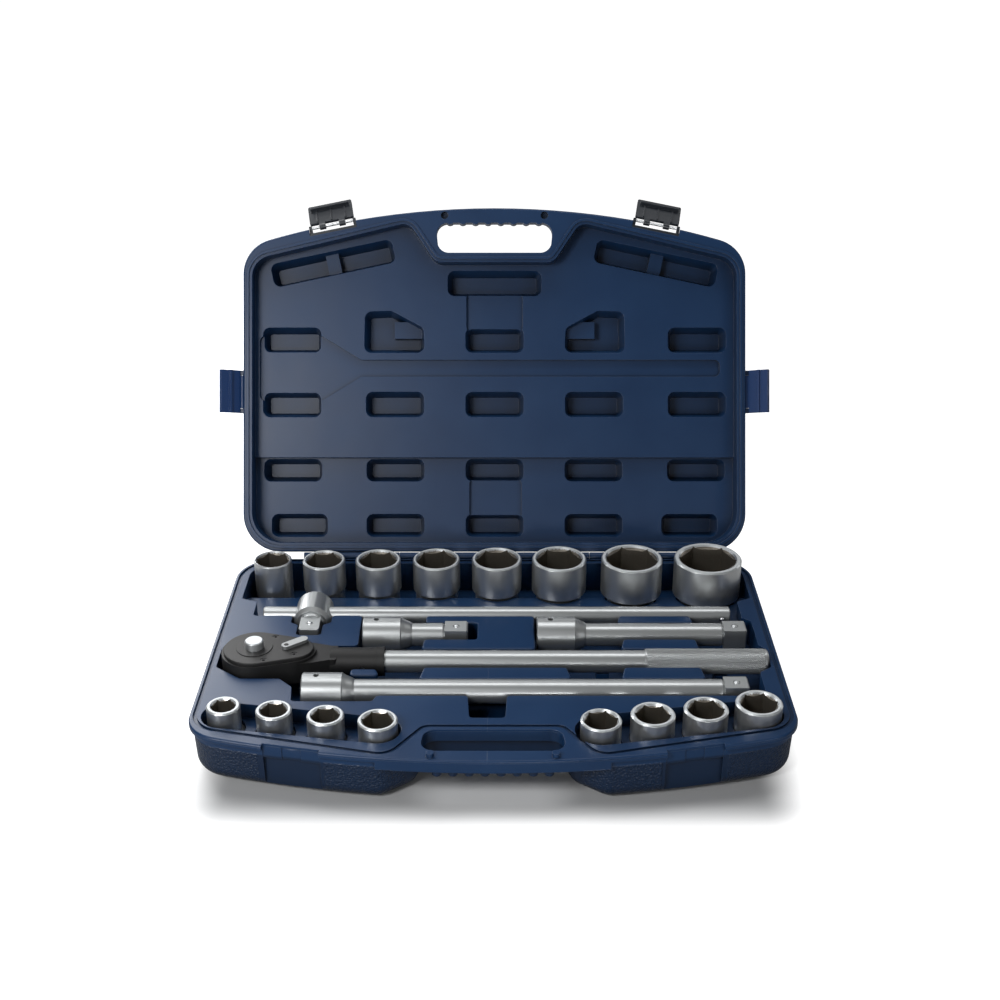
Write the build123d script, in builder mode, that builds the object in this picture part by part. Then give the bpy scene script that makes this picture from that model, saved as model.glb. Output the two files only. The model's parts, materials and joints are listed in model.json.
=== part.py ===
"""Socket wrench set in a blow-moulded case. Millimetres, +Z up, origin on the base's bottom face."""
import os
from math import asin, cos, degrees, radians, sin, sqrt

from build123d import *

os.makedirs("parts", exist_ok=True)

# Case halves: x runs across, d runs from the hinge axis to the front, depth runs from the rim into each half
case_half = 264.4
front_reach = 366.6
front_radius = 860.0
hinge_gap = 4.6
hinge_y = 184.0
base_height = 48.0
lid_height = 58.0
open_angle = 115.5
skin = 2.4
plate = 2.4
rim = 5.0
wall_inset = 3.0
draft = 3.0
bottom_round = 14.0
lip_round = 2.0
hinge_corner = 40.0
front_corner = 37.0
edge_round = 1.8
inner_half = 255.0
inner_back = 14.2
inner_front = 309.5
bead_gap = 3.2
bead_width = 2.6
bead_height = 1.6
bead_play = 0.5

# Handle
hole_half = 62.0
hole_back = 319.5
hole_front = 351.0
handle_bar = 12.0
grip_ribs = 8
grip_pitch = 13.4
peg_x = 52.5
peg_d = 358.8
peg_radius = 3.4

# Hinge, latches and side clasps
pin_radius = 2.0
knuckle_radius = 4.2
knuckle_edges = (100.0, 132.0, 168.0, 200.0)
knuckle_play = 0.4
knuckle_low, knuckle_high = knuckle_edges[1] + knuckle_play, knuckle_edges[2] - knuckle_play
running = 0.05
latch_x = 171.0
latch_width = 47.0
notch_width = 50.4
notch_back = 8.0
latch_pivot_y = 1.0
latch_pivot = 7.5
latch_pin = 1.5
latch_reach = 30.0
latch_rest = 35.0
catch_depth = 14.0
clasp_d = 173.5
clasp_length = 45.0
clasp_pivot_x = 266.8
clasp_pivot = 9.0
clasp_pin = 1.25
clasp_splay = 50.0

# Frame pressed into the lid's outer face
panel_d, panel_width, panel_height = 170.0, 430.0, 240.0

# Drive: three-quarter inch square
drive = 19.0
drive_hole = 19.4
drive_length = 22.0
ball_radius = 3.0
ball_travel = 1.2
seat = 0.1

# Tools lying in the tray: distance from the hinge, height of the axis below the rim
bar_d, bar_z, bar_radius, bar_left, bar_right = 115.0, base_height - 5.5, 8.7, -226.0, 231.0
stop_proud = 0.9
head_x, head_radius = -177.0, 18.0
extension_d, extension_z = 153.5, base_height - 4.5
long_d = 253.0
female_radius, female_length, shank_radius = 17.0, 37.0, 11.0
short_left, middle_left, long_left = -125.0, 41.0, -171.5
ratchet_d, ratchet_z = 203.0, base_height - 4.0
ratchet_head_x, ratchet_head_radius = -221.0, 30.5
tube_radius, grip_radius, neck_radius, collar_radius = 10.4, 12.0, 13.0, 13.6
neck_end, grip_start, grip_end = -101.0, 140.0, 254.0
knurl_depth = 0.35
housing_low, housing_high = base_height - 15.0, base_height + 8.0

# Sockets: hexagon, top diameter, drive-end diameter, x, d, length
deep_floor = 37.2
back_edge = 20.5
back_sockets = [
    (30, 38.2, 38.0, -226.5, 54.5),
    (32, 43.0, 40.0, -174.0, 55.5),
    (34, 46.0, 42.0, -118.5, 56.5),
    (36, 47.8, 43.0, -59.0, 57.5),
    (38, 50.4, 44.0, 2.5, 58.5),
    (41, 55.1, 46.0, 66.0, 60.0),
    (46, 61.8, 48.0, 139.5, 62.0),
    (50, 67.8, 50.0, 216.0, 63.5),
]
front_sockets = [
    (19, 29.4, 35.0, -234.0, 298.0, 47.5),
    (21, 31.2, 35.0, -189.5, 304.5, 47.5),
    (22, 32.2, 35.0, -144.0, 312.5, 47.5),
    (24, 34.2, 36.0, -98.5, 320.5, 48.0),
    (26, 35.4, 37.0, 92.0, 320.5, 48.0),
    (27, 38.4, 38.4, 137.0, 312.5, 48.5),
    (28, 38.8, 38.8, 183.5, 304.5, 48.5),
    (29, 41.0, 40.0, 230.5, 295.9, 49.0),
]
socket_play = 0.5

lean = radians(open_angle - 90)
base_plane = Plane(origin=(0, hinge_y, base_height), x_dir=(1, 0, 0), z_dir=(0, 0, -1))
lid_plane = Plane(
    origin=(0, hinge_y, base_height), x_dir=(-1, 0, 0), z_dir=(0, cos(lean), -sin(lean))
)


def front_edge(x):
    """Distance from the hinge axis to the curved front edge of the flange."""
    return front_reach - front_radius + sqrt(front_radius**2 - x**2)


def save(part, name):
    part.label = name
    export_step(part, f"parts/{name}.step")


# Outlines shared by both halves
shoulder = front_edge(case_half)
with BuildSketch() as flange:
    with BuildLine():
        Polyline(
            (-case_half, shoulder),
            (-case_half, hinge_gap),
            (case_half, hinge_gap),
            (case_half, shoulder),
        )
        ThreePointArc((case_half, shoulder), (0, front_reach), (-case_half, shoulder))
    make_face()
    fillet(flange.vertices().sort_by(Axis.Y)[:2], hinge_corner)
    fillet(flange.vertices().sort_by(Axis.Y)[-2:], front_corner)

bay_back = inner_front + 6.4
with BuildSketch() as bay:
    with BuildLine():
        Polyline(
            (-58, bay_back), (58, bay_back), (65, 337), (120, 378), (-120, 378), (-65, 337), close=True
        )
    make_face()
    fillet(bay.vertices().sort_by(Axis.Y)[:2], 8)
    fillet(bay.vertices().filter_by(lambda v: abs(v.Y - 337) < 1), bottom_round + 8)

with BuildSketch() as body:
    add(flange.sketch)
    offset(amount=-wall_inset)
    add(bay.sketch, mode=Mode.SUBTRACT)
    fillet(body.vertices().filter_by(lambda v: abs(v.X) < 130 and v.Y > 352), bottom_round + 6)

with BuildSketch() as hollow:
    add(body.sketch)
    offset(amount=-skin)

with BuildSketch() as inner:
    with BuildLine():
        Polyline(
            (-inner_half, inner_back),
            (inner_half, inner_back),
            (inner_half, inner_front + 2.5),
            (90, inner_front + 42),
            (62, inner_front),
            (-62, inner_front),
            (-90, inner_front + 42),
            (-inner_half, inner_front + 2.5),
            close=True,
        )
    make_face()
    fillet(inner.vertices().sort_by(Axis.Y)[:2], hinge_corner - 8)
    fillet(inner.vertices().filter_by(lambda v: abs(v.X) < 130), 14)
    fillet(inner.vertices().filter_by(lambda v: v.Y > 311 and abs(v.X) > 250), 22)

with BuildSketch() as hand_hole:
    with BuildLine():
        FilletPolyline(
            (-hole_half + 3, hole_back),
            (hole_half - 3, hole_back),
            (hole_half, hole_front),
            (-hole_half, hole_front),
            radius=12,
            close=True,
        )
    make_face()


def bead_ring(low, high):
    """The closed band between two offsets of the inner outline."""
    with BuildSketch() as ring:
        add(inner.sketch)
        offset(amount=high)
        with BuildSketch(mode=Mode.SUBTRACT):
            add(inner.sketch)
            offset(amount=low)
    return ring.sketch


def outer_shell(plane, height):
    """Outer skin of one half: pan, flange and handle bar."""
    into = Axis(plane.origin, plane.z_dir)
    with BuildPart() as void:
        with BuildSketch(plane.offset(plate)):
            add(hollow.sketch)
        extrude(amount=height - plate - skin, taper=draft)
        fillet(void.faces().sort_by(into)[-1].edges(), bottom_round - skin)
    with BuildPart() as shell:
        with BuildSketch(plane.offset(plate)):
            add(body.sketch)
        extrude(amount=height - plate, taper=draft)
        fillet(shell.faces().sort_by(into)[-1].edges(), bottom_round)
        with BuildSketch(plane.offset(plate)):
            add(flange.sketch)
        extrude(amount=rim - plate)
        with BuildSketch(plane.offset(plate)):
            add(flange.sketch)
            with BuildSketch(mode=Mode.INTERSECT):
                add(bay.sketch)
                offset(amount=1.0)
        extrude(amount=handle_bar - plate)
        with BuildSketch(plane):
            add(hand_hole.sketch)
        extrude(amount=handle_bar + 1, mode=Mode.SUBTRACT)
        add(void.part, mode=Mode.SUBTRACT)
    return shell.part


def latch_plane(plane, side):
    """Frame on the curved front edge: x along the edge, y outward, z into the half."""
    tilt = degrees(asin(latch_x / front_radius))
    return Plane(plane * Location((side * latch_x, front_edge(latch_x), 0), (0, 0, -side * tilt)))


def slab(plane, x_span, y_span, z_span, mode=Mode.ADD):
    """A box given by its spans in a frame."""
    size = [b - a for a, b in (x_span, y_span, z_span)]
    middle = [(a + b) / 2 for a, b in (x_span, y_span, z_span)]
    with Locations(plane * Location(tuple(middle))):
        Box(*size, mode=mode)


def rod(plane, axis, start, end, radius, mode=Mode.ADD):
    """A cylinder along x of a frame, at (y, z), between two x."""
    with Locations(plane * Location(((start + end) / 2, axis[0], axis[1]), (0, 90, 0))):
        Cylinder(radius, abs(end - start), mode=mode)


half_notch = notch_width / 2
lug_top = hinge_gap + wall_inset

# Base outer shell, with latch catches, hinge knuckles and the lugs that stop the lid
with BuildPart() as base_outer_shell:
    add(outer_shell(base_plane, base_height))
    for side in (-1, 1):
        frame = latch_plane(base_plane, side)
        slab(frame, (-half_notch - skin, half_notch + skin), (-10, -wall_inset - 3.2), (plate, 40))
    for side in (-1, 1):
        frame = latch_plane(base_plane, side)
        slab(frame, (-half_notch, half_notch), (-4.5, 12), (0, catch_depth), Mode.SUBTRACT)
        slab(frame, (-8.5, 8.5), (-5.4, 12), (0, catch_depth), Mode.SUBTRACT)
        slab(frame, (-half_notch, half_notch), (-7.6, 12), (catch_depth, base_height), Mode.SUBTRACT)
    for side in (-1, 1):
        for start, end in (knuckle_edges[:2], knuckle_edges[2:]):
            rod(base_plane, (0, 0), side * start, side * end, knuckle_radius)
            span = sorted((side * start, side * end))
            slab(base_plane, span, (0, hinge_gap + 3), (plate, knuckle_radius))
            rod(base_plane, (0, 0), side * start, side * end, pin_radius + 0.01, Mode.SUBTRACT)
    stop_line = [(y, (lug_top - 0.3 - y * sin(lean)) / cos(lean)) for y in (9.5, 21.5)]
    points = [(-10.2, -16), (-10.2, -7), (7, -7), *stop_line, (21.5, -8), (12, -16)]
    for x in (-75, 45):
        with BuildSketch(Plane.YZ.offset(x)):
            with BuildLine():
                Polyline(*[(hinge_y + y, base_height + z) for y, z in points], close=True)
            make_face()
        extrude(amount=30)
    with BuildSketch(base_plane.offset(handle_bar)):
        with Locations((0, hole_front + 9.0)):
            with GridLocations(grip_pitch, 1, grip_ribs, 1):
                SlotOverall(10, 8, rotation=90)
    extrude(amount=4.0)
save(base_outer_shell.part, "base_outer_shell")

# Tray: one well with islands, its outline drawn on the rim, then deeper seats for each tool
bar_front = bar_d + bar_radius + stop_proud + 0.4
well_points = [
    (-251, 16), (255, 16), (255, 90), (241, 97), (241, 129), (249, 136), (249, 180), (255, 188),
    (255, 219), (243, 228), (243, 267), (12, 267), (10.5, 302), (-21, 302), (-23, 267), (-104, 267),
    (-107, 276), (-179, 276), (-181, 253), (-194, 239), (-230, 239), (-254.6, 219), (-254.6, 187),
    (-232, 171), (-203, 171), (-166, 181.5), (-128, 181.5), (-128.5, bar_front), (-157.5, bar_front),
    (-157.5, 138), (-165, 143), (-165, 162), (-189, 162), (-189, 143), (-196.5, 138),
    (-196.5, bar_front), (-235, bar_front), (-235, 97), (-251, 91),
]
islands = [
    [(-66, bar_front), (39, bar_front), (39, 187), (-68, 187), (-66, 169), (-16, 169), (-16, 138),
     (-66, 138)],
    [(122, bar_front), (190, bar_front), (193, 138), (119, 138)],
    [(123, 169), (191, 169), (193, 187), (119, 187)],
    [(120, 219), (190, 219), (193, 239), (116, 239)],
    [(-64, 219), (67, 219), (71, 239), (-68, 239)],
    [(-131, 222), (-108, 222), (-104, 233), (-131, 233)],
]
with BuildSketch() as well:
    with BuildLine():
        Polyline(*well_points, close=True)
    make_face()
    fillet(well.vertices().filter_by(lambda v: v.Y < 60), 28)
    fillet(well.vertices().filter_by(lambda v: v.Y > 60), 4)
    for points in islands:
        with BuildLine():
            FilletPolyline(*points, radius=3.5, close=True)
        make_face(mode=Mode.SUBTRACT)
with BuildSketch() as well_skin:
    add(well.sketch)
    offset(amount=skin)

shelf = base_height - bar_z + bar_radius + seat
shank_floor = base_height - extension_z + shank_radius + seat
female_floor = base_height - extension_z + female_radius + seat
head_floor = base_height - bar_z + head_radius + seat
housing_floor = base_height - housing_low + seat
tube_floor = base_height - ratchet_z + tube_radius + seat
grip_floor = base_height - ratchet_z + grip_radius + seat
deep = 27.0
seats = [
    ((-251, 255), (16, 64), deep + 5),
    ((-130, 252), (126, 172), deep),
    ((-184, 245), (234, 277), deep),
    ((-197, -157), (93, 137.6), head_floor),
    ((-190, -164), (137, 163), head_floor - 4),
    ((-256, 256), (170.5, 239.5), deep),
    ((-24, 13), (258, 303), deep),
]
# Narrow rests on the deep floor, hidden under the tools that lie on them: x, d, depth of the top
rests = [
    ((short_left + 7, short_left + 29), (extension_d - 7, extension_d + 7), female_floor),
    ((short_left + 59, short_left + 71), (extension_d - 5.5, extension_d + 5.5), shank_floor),
    ((middle_left + 7, middle_left + 29), (extension_d - 7, extension_d + 7), female_floor),
    ((middle_left + 139, middle_left + 151), (extension_d - 5.5, extension_d + 5.5), shank_floor),
    ((long_left + 7, long_left + 29), (long_d - 7, long_d + 7), female_floor),
    ((long_left + 131, long_left + 143), (long_d - 5.5, long_d + 5.5), shank_floor),
    ((long_left + 321, long_left + 333), (long_d - 5.5, long_d + 5.5), shank_floor),
    ((ratchet_head_x + 21, ratchet_head_x + 49), (ratchet_d - 10, ratchet_d + 10), housing_floor),
    ((-20, -8), (ratchet_d - 5, ratchet_d + 5), tube_floor),
    ((95, 107), (ratchet_d - 5, ratchet_d + 5), tube_floor),
    ((205, 217), (ratchet_d - 6, ratchet_d + 6), grip_floor),
]


def slots():
    """The two slanting troughs for the front sockets, as (middle, length, width, angle)."""
    for row in (front_sockets[:4], front_sockets[4:]):
        (x0, d0), (x1, d1) = row[0][3:5], row[-1][3:5]
        width = max(max(s[1], s[2]) for s in row) + 3.6
        angle = degrees(asin((d1 - d0) / sqrt((x1 - x0) ** 2 + (d1 - d0) ** 2)))
        yield ((x0 + x1) / 2, (d0 + d1) / 2), sqrt((x1 - x0) ** 2 + (d1 - d0) ** 2), width, angle


def rounds():
    """Round seats as (x, d, radius, floor): every socket, and the ratchet's head and drive."""
    for size, top, low, x, length in back_sockets:
        yield x, back_edge + top / 2, max(top, low) / 2 + socket_play, deep_floor
    for size, top, low, x, d, length in front_sockets:
        yield x, d, max(top, low) / 2 + socket_play, deep_floor
    yield ratchet_head_x, ratchet_d, drive * 0.75 + 1.0, deep_floor


trough = 14.0
with BuildPart() as base_tray:
    with BuildSketch(base_plane):
        add(flange.sketch)
        add(hand_hole.sketch, mode=Mode.SUBTRACT)
    extrude(amount=plate)
    fillet(base_tray.faces().sort_by(Axis.Z)[-1].outer_wire().edges(), lip_round)
    with BuildSketch(base_plane):
        add(well_skin.sketch)
    extrude(amount=shelf + skin)
    for middle, length, width, angle in slots():
        with BuildSketch(base_plane):
            with Locations(middle):
                SlotCenterToCenter(length, width + 2 * skin, rotation=angle)
        extrude(amount=trough + skin)
    with BuildSketch(base_plane):
        add(well.sketch)
    extrude(amount=shelf, mode=Mode.SUBTRACT)
    for middle, length, width, angle in slots():
        with BuildSketch(base_plane):
            with Locations(middle):
                SlotCenterToCenter(length, width, rotation=angle)
        extrude(amount=trough, mode=Mode.SUBTRACT)
    top_face = base_tray.faces().filter_by(Axis.Z).sort_by(Axis.Z)[-1]
    wells = [w for w in top_face.inner_wires() if w.bounding_box().max.Y > hinge_y - hole_back]
    island_tops = [
        f for f in base_tray.faces().filter_by(Axis.Z).group_by(Axis.Z)[-1] if f.area < 20000
    ]
    rims = [e for w in wells for e in w.edges()] + [e for f in island_tops for e in f.edges()]
    fillet(rims, edge_round)
    for x_span, d_span, floor in seats:
        with BuildSketch(base_plane.offset(shelf)):
            with Locations(((x_span[0] + x_span[1]) / 2, (d_span[0] + d_span[1]) / 2)):
                Rectangle(x_span[1] - x_span[0] + 2 * skin, d_span[1] - d_span[0] + 2 * skin)
            add(well_skin.sketch, mode=Mode.INTERSECT)
        extrude(amount=floor + skin - shelf)
    for x, d, radius, floor in rounds():
        start = shelf if d < 280 else trough
        with BuildSketch(base_plane.offset(start)):
            with Locations((x, d)):
                Circle(radius + skin)
        extrude(amount=floor + skin - start)
    for x_span, d_span, floor in seats:
        with BuildSketch(base_plane.offset(shelf - 1)):
            with Locations(((x_span[0] + x_span[1]) / 2, (d_span[0] + d_span[1]) / 2)):
                Rectangle(x_span[1] - x_span[0], d_span[1] - d_span[0])
            add(well.sketch, mode=Mode.INTERSECT)
        extrude(amount=floor - shelf + 1, mode=Mode.SUBTRACT)
    for x, d, radius, floor in rounds():
        start = shelf if d < 280 else trough
        with BuildSketch(base_plane.offset(start - 1)):
            with Locations((x, d)):
                Circle(radius)
        extrude(amount=floor - start + 1, mode=Mode.SUBTRACT)
    for x_span, d_span, top in rests:
        slab(base_plane, x_span, d_span, (top, deep + skin / 2))
    with BuildSketch(base_plane):
        add(bead_ring(bead_gap - bead_play, bead_gap + bead_width + bead_play))
    extrude(amount=bead_height + bead_play / 2, mode=Mode.SUBTRACT)
    for side in (-1, 1):
        frame = latch_plane(base_plane, side)
        slab(frame, (-half_notch, half_notch), (-4.5, 12), (-1, plate + 1), Mode.SUBTRACT)
        with BuildSketch(base_plane):
            with Locations((side * peg_x, peg_d)):
                Circle(peg_radius)
        extrude(amount=-4.0)
    add(base_outer_shell.part, mode=Mode.SUBTRACT)
# The tray is kept as five zones that meet on plain seams, each simple enough for its own hulls
back_seam, ratchet_back, ratchet_front, centre_seam = 91.0, 188.5, 218.0, -5.0
far = 400.0
tray_zones = {
    "base_tray_back": ((-far, far), (-far, back_seam)),
    "base_tray_bars": ((-far, far), (back_seam, ratchet_back)),
    "base_tray_ratchet": ((-far, far), (ratchet_back, ratchet_front)),
    "base_tray_left": ((-far, centre_seam), (ratchet_front, far)),
    "base_tray_right": ((centre_seam, far), (ratchet_front, far)),
}
for name, (x_span, d_span) in tray_zones.items():
    with BuildPart() as zone:
        slab(base_plane, x_span, d_span, (-20, base_height))
        add(base_tray.part, mode=Mode.INTERSECT)
    save(zone.part, name)

# Lid outer shell: latch notches, clasp lugs, hinge knuckles between the base's
clasp_half = clasp_length / 2
with BuildPart() as lid_outer_shell:
    add(outer_shell(lid_plane, lid_height))
    for side in (-1, 1):
        frame = latch_plane(lid_plane, side)
        y_span = (-notch_back - skin, -wall_inset - 0.8)
        slab(frame, (-half_notch - skin, half_notch + skin), y_span, (plate, 18))
    for side in (-1, 1):
        frame = latch_plane(lid_plane, side)
        slab(frame, (-half_notch, half_notch), (-notch_back, 12), (0, 15.6), Mode.SUBTRACT)
        rod(lid_plane, (0, 0), side * knuckle_low, side * knuckle_high, knuckle_radius)
        span = sorted((side * knuckle_low, side * knuckle_high))
        slab(lid_plane, span, (0, hinge_gap + 3), (plate, knuckle_radius))
        rod(lid_plane, (0, 0), *span, pin_radius + running, Mode.SUBTRACT)
        for end in (-1, 1):
            d_span = sorted((clasp_d + end * clasp_half, clasp_d + end * (clasp_half - 5)))
            x_span = sorted((side * (case_half - wall_inset - 1.5), side * (clasp_pivot_x + 2.4)))
            slab(lid_plane, x_span, d_span, (clasp_pivot - 2.4, clasp_pivot + 2.4))
        with Locations(lid_plane * Location((side * clasp_pivot_x, clasp_d, clasp_pivot), (90, 0, 0))):
            Cylinder(clasp_pin + 0.01, clasp_length + 1, mode=Mode.SUBTRACT)
    with BuildSketch(lid_plane.offset(lid_height)):
        with Locations((0, panel_d)):
            RectangleRounded(panel_width, panel_height, 24)
            RectangleRounded(panel_width - 24, panel_height - 24, 14, mode=Mode.SUBTRACT)
    extrude(amount=-0.9, mode=Mode.SUBTRACT)
    with BuildSketch(lid_plane.offset(plate)):
        with Locations((0, hole_front + 3.0)):
            with GridLocations(grip_pitch, 1, grip_ribs, 1):
                Circle(4.6)
    extrude(amount=handle_bar - plate)
    with BuildSketch(lid_plane):
        with GridLocations(2 * peg_x, 1, 2, 1):
            with Locations((0, peg_d)):
                Circle(peg_radius + bead_play)
    extrude(amount=6, mode=Mode.SUBTRACT)
save(lid_outer_shell.part, "lid_outer_shell")

# Lid liner: the panel that faces the tools, with drafted stiffening pockets in it
panel_floor = 20.0
back_floor = 28.0
back_span = 104.5
pocket_depth = 21.0
pocket_draft = 13.0
pocket_corner = 7.5
columns = (-215.6, -106.0, 0.0, 106.0, 215.6)
pockets = [(x, d, 62.0, h, 0.0) for d, h in ((161.0, 27.0), (91.0, 24.0)) for x in columns]
pockets += [(x, 229.5, 62.0, 27.0, 0.0) for x in (-215.6, 0.0, 215.6)]
pockets += [(x, 32.0, 62.0, 24.5, 0.0) for x in (-106.0, 0.0, 106.0)]
pockets += [(x, 32.0, 60.0, 24.5, 0.0) for x in (-208.5, 208.5)]
pockets += [(0.0, 290.0, 100.0, 27.0, 0.0)]
pockets += [(side * 172.0, 311.5, 132.0, 25.5, -side * 12.0) for side in (-1, 1)]
houses = [
    [(side * x, d) for x, d in ((138, 260), (110, 261), (75.6, 242.6), (74.6, 216), (139, 216))]
    for side in (-1, 1)
]
ratchet_shadow = [
    (250, 165), (184, 165), (142, 190.7), (-240, 190.7), (-240, 208.5), (142, 208.5), (184, 234), (250, 234)
]
shallow = [
    (ratchet_shadow, panel_floor + 4.0),
    ([(-30, 238), (30, 238), (30, 280), (-30, 280)], panel_floor + 5.0),
    ([(-29, 38), (27, 38), (27, 82), (-29, 82)], back_floor + 5.0),
]


def pocket_faces(grow, back):
    """The pockets of the deeper back band or of the main panel, grown by that much."""
    with BuildSketch() as face:
        for x, d, width, height, angle in pockets:
            if (d < back_span) == back:
                with Locations((x, d)):
                    corner = pocket_corner + grow
                    RectangleRounded(width + 2 * grow, height + 2 * grow, corner, rotation=angle)
        for points in houses if not back else []:
            with BuildSketch():
                with BuildLine():
                    FilletPolyline(*points, radius=pocket_corner, close=True)
                make_face()
                offset(amount=grow)
    return face.sketch


with BuildPart() as lid_liner:
    with BuildSketch(lid_plane):
        add(flange.sketch)
        add(hand_hole.sketch, mode=Mode.SUBTRACT)
        with Locations((0, hole_front + 3.0)):
            with GridLocations(grip_pitch, 1, grip_ribs, 1):
                Circle(4.6)
    extrude(amount=plate)
    top_face = lid_liner.faces().sort_by(Axis(lid_plane.origin, lid_plane.z_dir))[0]
    fillet(top_face.outer_wire().edges(), lip_round)
    with BuildSketch(lid_plane):
        add(inner.sketch)
        offset(amount=skin)
    extrude(amount=panel_floor + skin)
    with BuildSketch(lid_plane):
        add(inner.sketch)
        offset(amount=skin)
        with Locations((0, back_span / 2)):
            Rectangle(2 * case_half, back_span + 2 * skin, mode=Mode.INTERSECT)
    extrude(amount=back_floor + skin)
    for points, floor in shallow:
        with BuildSketch(lid_plane):
            with BuildLine():
                FilletPolyline(*points, radius=6, close=True)
            make_face()
            offset(amount=skin)
        extrude(amount=floor + skin)
    for floor, back in ((panel_floor, False), (back_floor, True)):
        with BuildSketch(lid_plane.offset(floor)):
            add(pocket_faces(skin, back))
        extrude(amount=pocket_depth + skin, taper=pocket_draft)
    with BuildSketch(lid_plane):
        add(inner.sketch)
    extrude(amount=panel_floor, mode=Mode.SUBTRACT)
    with BuildSketch(lid_plane):
        add(inner.sketch)
        with Locations((0, back_span / 2)):
            Rectangle(2 * case_half, back_span, mode=Mode.INTERSECT)
    extrude(amount=back_floor, mode=Mode.SUBTRACT)
    for points, floor in shallow:
        with BuildSketch(lid_plane):
            with BuildLine():
                FilletPolyline(*points, radius=6, close=True)
            make_face()
        extrude(amount=floor, mode=Mode.SUBTRACT)
    for floor, back in ((panel_floor, False), (back_floor, True)):
        with BuildSketch(lid_plane.offset(floor)):
            add(pocket_faces(0.0, back))
        extrude(amount=pocket_depth, taper=pocket_draft, mode=Mode.SUBTRACT)
    saddle = (panel_floor + 9, panel_floor + pocket_depth + skin / 2)
    for side in (-1, 1):
        slant = Plane(lid_plane * Location((side * 172.0, 311.5, 0), (0, 0, -side * 12.0)))
        slab(slant, (-7, 7), (-11, 11), saddle)
        slab(lid_plane, sorted((side * 77, side * 107)), (232, 250), saddle)
    with BuildSketch(lid_plane):
        add(bead_ring(bead_gap, bead_gap + bead_width))
    extrude(amount=-bead_height)
    for side in (-1, 1):
        frame = latch_plane(lid_plane, side)
        slab(frame, (-half_notch, half_notch), (-notch_back, 12), (-1, plate + 1), Mode.SUBTRACT)
        with BuildSketch(lid_plane):
            with Locations((side * peg_x, peg_d)):
                Circle(peg_radius + bead_play)
        extrude(amount=plate, mode=Mode.SUBTRACT)
    add(lid_outer_shell.part, mode=Mode.SUBTRACT)
# The liner likewise: its two floors, cut just above the crease, and the rim with the walls
crease = 0.5
with BuildPart() as lid_panel_back:
    slab(lid_plane, (-far, far), (-far, back_span), (back_floor - crease, lid_height))
    add(lid_liner.part, mode=Mode.INTERSECT)
save(lid_panel_back.part, "lid_panel_back")
with BuildPart() as lid_panel_front:
    slab(lid_plane, (-far, far), (back_span, far), (panel_floor - crease, lid_height))
    add(lid_liner.part, mode=Mode.INTERSECT)
save(lid_panel_front.part, "lid_panel_front")
with BuildPart() as lid_rim:
    slab(lid_plane, (-far, far), (-far, far), (-20, panel_floor - crease))
    slab(lid_plane, (-far, far), (-far, back_span), (-20, back_floor - crease))
    add(lid_liner.part, mode=Mode.INTERSECT)
save(lid_rim.part, "lid_rim")

# Hinge pins, latches with their brackets and pins, side clasps with their pins
with BuildPart() as hinge_pins:
    for side in (-1, 1):
        rod(base_plane, (0, 0), side * knuckle_edges[0], side * knuckle_edges[3], pin_radius)
save(hinge_pins.part, "hinge_pins")

with BuildPart() as latch_brackets:
    for side in (-1, 1):
        frame = latch_plane(lid_plane, side)
        slab(frame, (-half_notch + 0.2, half_notch - 0.2), (-notch_back, -5.2), (0.6, 15))
        for end in (-1, 1):
            span = sorted((end * (half_notch - 0.2), end * (half_notch - 3.2)))
            slab(frame, span, (-5.6, latch_pivot_y + 2.2), (latch_pivot - 2.5, latch_pivot + 2.5))
        pivot = (latch_pivot_y, latch_pivot)
        rod(frame, pivot, -half_notch, half_notch, latch_pin + 0.01, Mode.SUBTRACT)
save(latch_brackets.part, "latch_brackets")

with BuildPart() as latch_pins:
    for side in (-1, 1):
        pivot = (latch_pivot_y, latch_pivot)
        rod(latch_plane(lid_plane, side), pivot, -half_notch + 0.4, half_notch - 0.4, latch_pin)
save(latch_pins.part, "latch_pins")

for side, name in ((1, "latch_left"), (-1, "latch_right")):
    pivot = Location((0, latch_pivot_y, latch_pivot), (latch_rest, 0, 0))
    frame = Plane(latch_plane(lid_plane, side) * pivot)
    hook = latch_pivot + catch_depth + 0.4
    with BuildPart() as latch:
        slab(frame, (-latch_width / 2, latch_width / 2), (4, latch_reach), (-2.5, 0.7))
        fillet(latch.edges().filter_by(Axis(frame.origin, frame.z_dir)), 2.0)
        slab(frame, (-latch_width / 2 + 3, latch_width / 2 - 3), (hook, hook + 3), (-7.0, -2.4))
        for x in (-15, 0, 15):
            slab(frame, (x - 0.8, x + 0.8), (5, hook), (-3.7, -2.4))
        for x in (-10.5, 10.5):
            rod(frame, (0, 0), x - 3.25, x + 3.25, 3.2)
            slab(frame, (x - 3.25, x + 3.25), (0, 5), (-2.5, 0.7))
        for x in (-10.5, 10.5):
            rod(frame, (0, 0), x - 4, x + 4, latch_pin + running, Mode.SUBTRACT)
        with BuildSketch(frame.offset(-8)):
            with Locations((-side * 3, latch_reach - 2.6)):
                SlotOverall(10, 2.6)
        extrude(amount=10, mode=Mode.SUBTRACT)
    save(latch.part, name)

with BuildPart() as side_clasp_pins:
    for side in (-1, 1):
        with Locations(lid_plane * Location((side * clasp_pivot_x, clasp_d, clasp_pivot), (90, 0, 0))):
            Cylinder(clasp_pin, clasp_length)
save(side_clasp_pins.part, "side_clasp_pins")

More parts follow.
